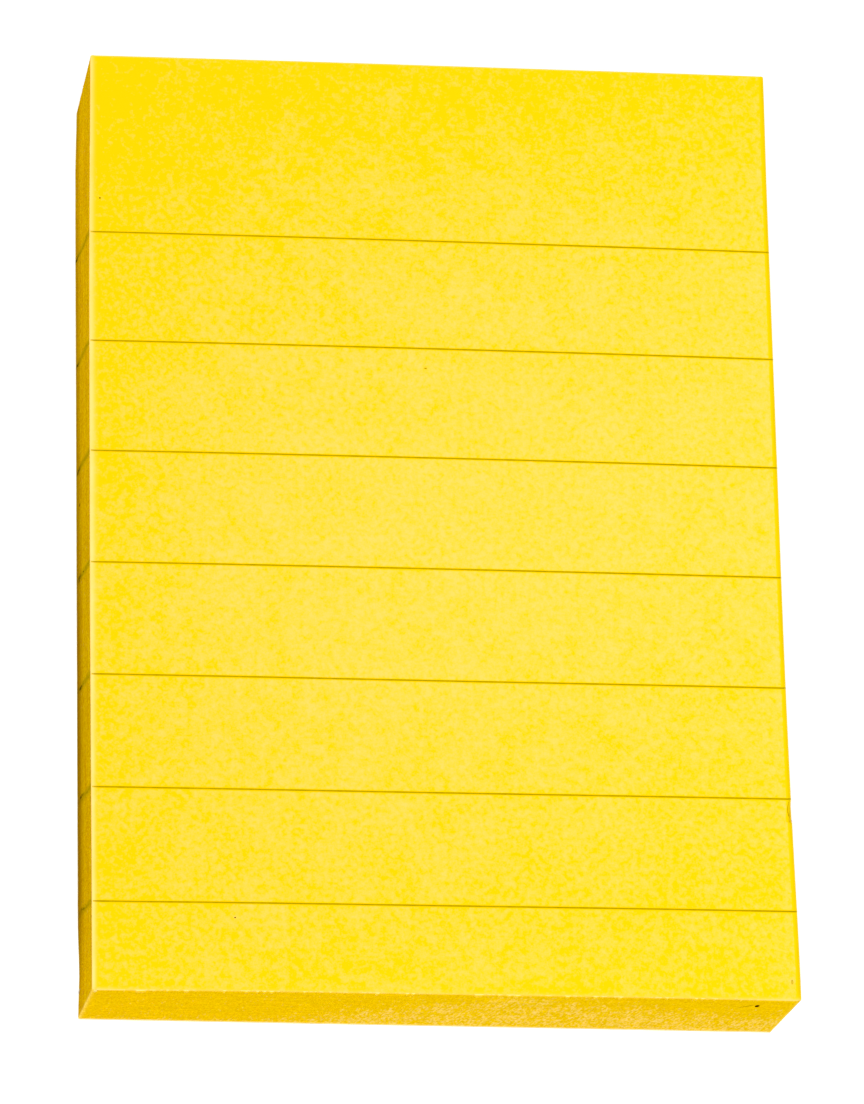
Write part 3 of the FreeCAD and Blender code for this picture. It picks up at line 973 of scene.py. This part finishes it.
bits = [
    (on_top(-17.68, 17.42), (0.045, 0.04, 0.004)),
    (on_top(-10.96, -21.64), (0.045, 0.035, 0.004)),
    (on_free(16.25, 6.6), (0.12, 0.014, 0.28)),
    (on_free(18.2, 7.8), (0.03, 0.014, 0.06)),
    (on_left(2.34, 2.0), (0.01, 0.06, 0.3)),
    (on_left(-1.98, 3.9), (0.008, 0.04, 0.15)),
    (on_left(-1.75, 1.6), (0.01, 0.06, 0.3)),
]
bark_specks = make_piece("bark_specks", *lozenges(bits), bark, True)

# %% Stray fibre
DUST_MM = 0.08
FIBRE_RADIUS = 0.028
lint, tree, output = new_material("grey_textile_lint")
# A single rayon or cotton filament: grey, and paler along its lit side because it is half clear.
grey = mottled(tree, DUST_MM, {}, "#8A8678", "#C4BFAE")
filament = add_node(tree, "ShaderNodeBsdfPrincipled", inputs={"Base Color": grey, "Roughness": 0.6})
tree.links.new(filament.outputs[0], output.inputs[0])


def thread(path, radius):
    """A closed tube round a path: each ring of six points lies across the path, and the tips close it."""
    path = np.array(path, dtype=float)
    ahead = np.gradient(path, axis=0)
    ahead /= np.linalg.norm(ahead, axis=1, keepdims=True)
    sideways = np.cross(ahead, (0.3, 0.2, 1.0))
    sideways /= np.linalg.norm(sideways, axis=1, keepdims=True)
    upwards = np.cross(sideways, ahead)
    turn = np.linspace(0, 2 * np.pi, 6, endpoint=False)
    taper = radius * np.sin(np.linspace(0.25, np.pi - 0.25, len(path)))[:, None, None]
    across_path = np.cos(turn)[:, None] * sideways[:, None] + np.sin(turn)[:, None] * upwards[:, None]
    tube = path[:, None] + taper * across_path
    stations = len(path)
    tips = [np.arange(6)[None, :], (stations - 1) * 6 + np.arange(6)[::-1][None, :]]
    return tube, [grid_faces(stations, 6, closed=True)[:, ::-1], *tips]


bend = np.linspace(0, 1, 12)
fibre_path = np.stack([
    -HALF_WIDTH + 0.11 - 0.08 * np.sin(np.pi * bend),
    NIP_AT - 1.0 - 0.25 * bend,
    0.8 - 0.65 * bend + 0.1 * np.sin(2 * np.pi * bend)], axis=-1)
lint_fibre = make_piece("lint_fibre", *thread(fibre_path, FIBRE_RADIUS), lint, True)

# %% Painted shadows of a scratch and a crease, and ink spots
SCRATCH_SHADOW_RADIUS = 0.013
CREASE_SHADOW_RADIUS = 0.022
# A shallow scratch on the free end: its shaded groove is painted as a thin tube of bark colour.
scratch_path = [on_free(x, z) for x, z in zip(np.linspace(15.4, 16.0, 9), np.linspace(6.2, 6.7, 9))]
scratch_shadow = make_piece("scratch_shadow", *thread(scratch_path, SCRATCH_SHADOW_RADIUS), bark, True)

# The crease beside the nick: its shadow is painted as a thin tube of the ruling ink.
run = np.linspace(0, 1, 16)
crease_x = 18.1 - 0.12 * np.sin(np.pi * run) + 0.12 * run ** 4
crease_path = [on_top(x, y) for x, y in zip(crease_x, NICK_FROM + (NICK_TO - NICK_FROM) * run)]
crease_shadow = make_piece("crease_shadow_line", *thread(crease_path, CREASE_SHADOW_RADIUS), ruling_ink, True)

spots = [(on_top(-0.53, 8.35), (0.08, 0.04, 0.003)), (on_top(17.84, -24.6), (0.06, 0.13, 0.003))]
ink_spots = make_piece("ink_spots", *lozenges(spots), ruling_ink, True, {"rubbed": np.repeat([0.0, 0.5], 26)})
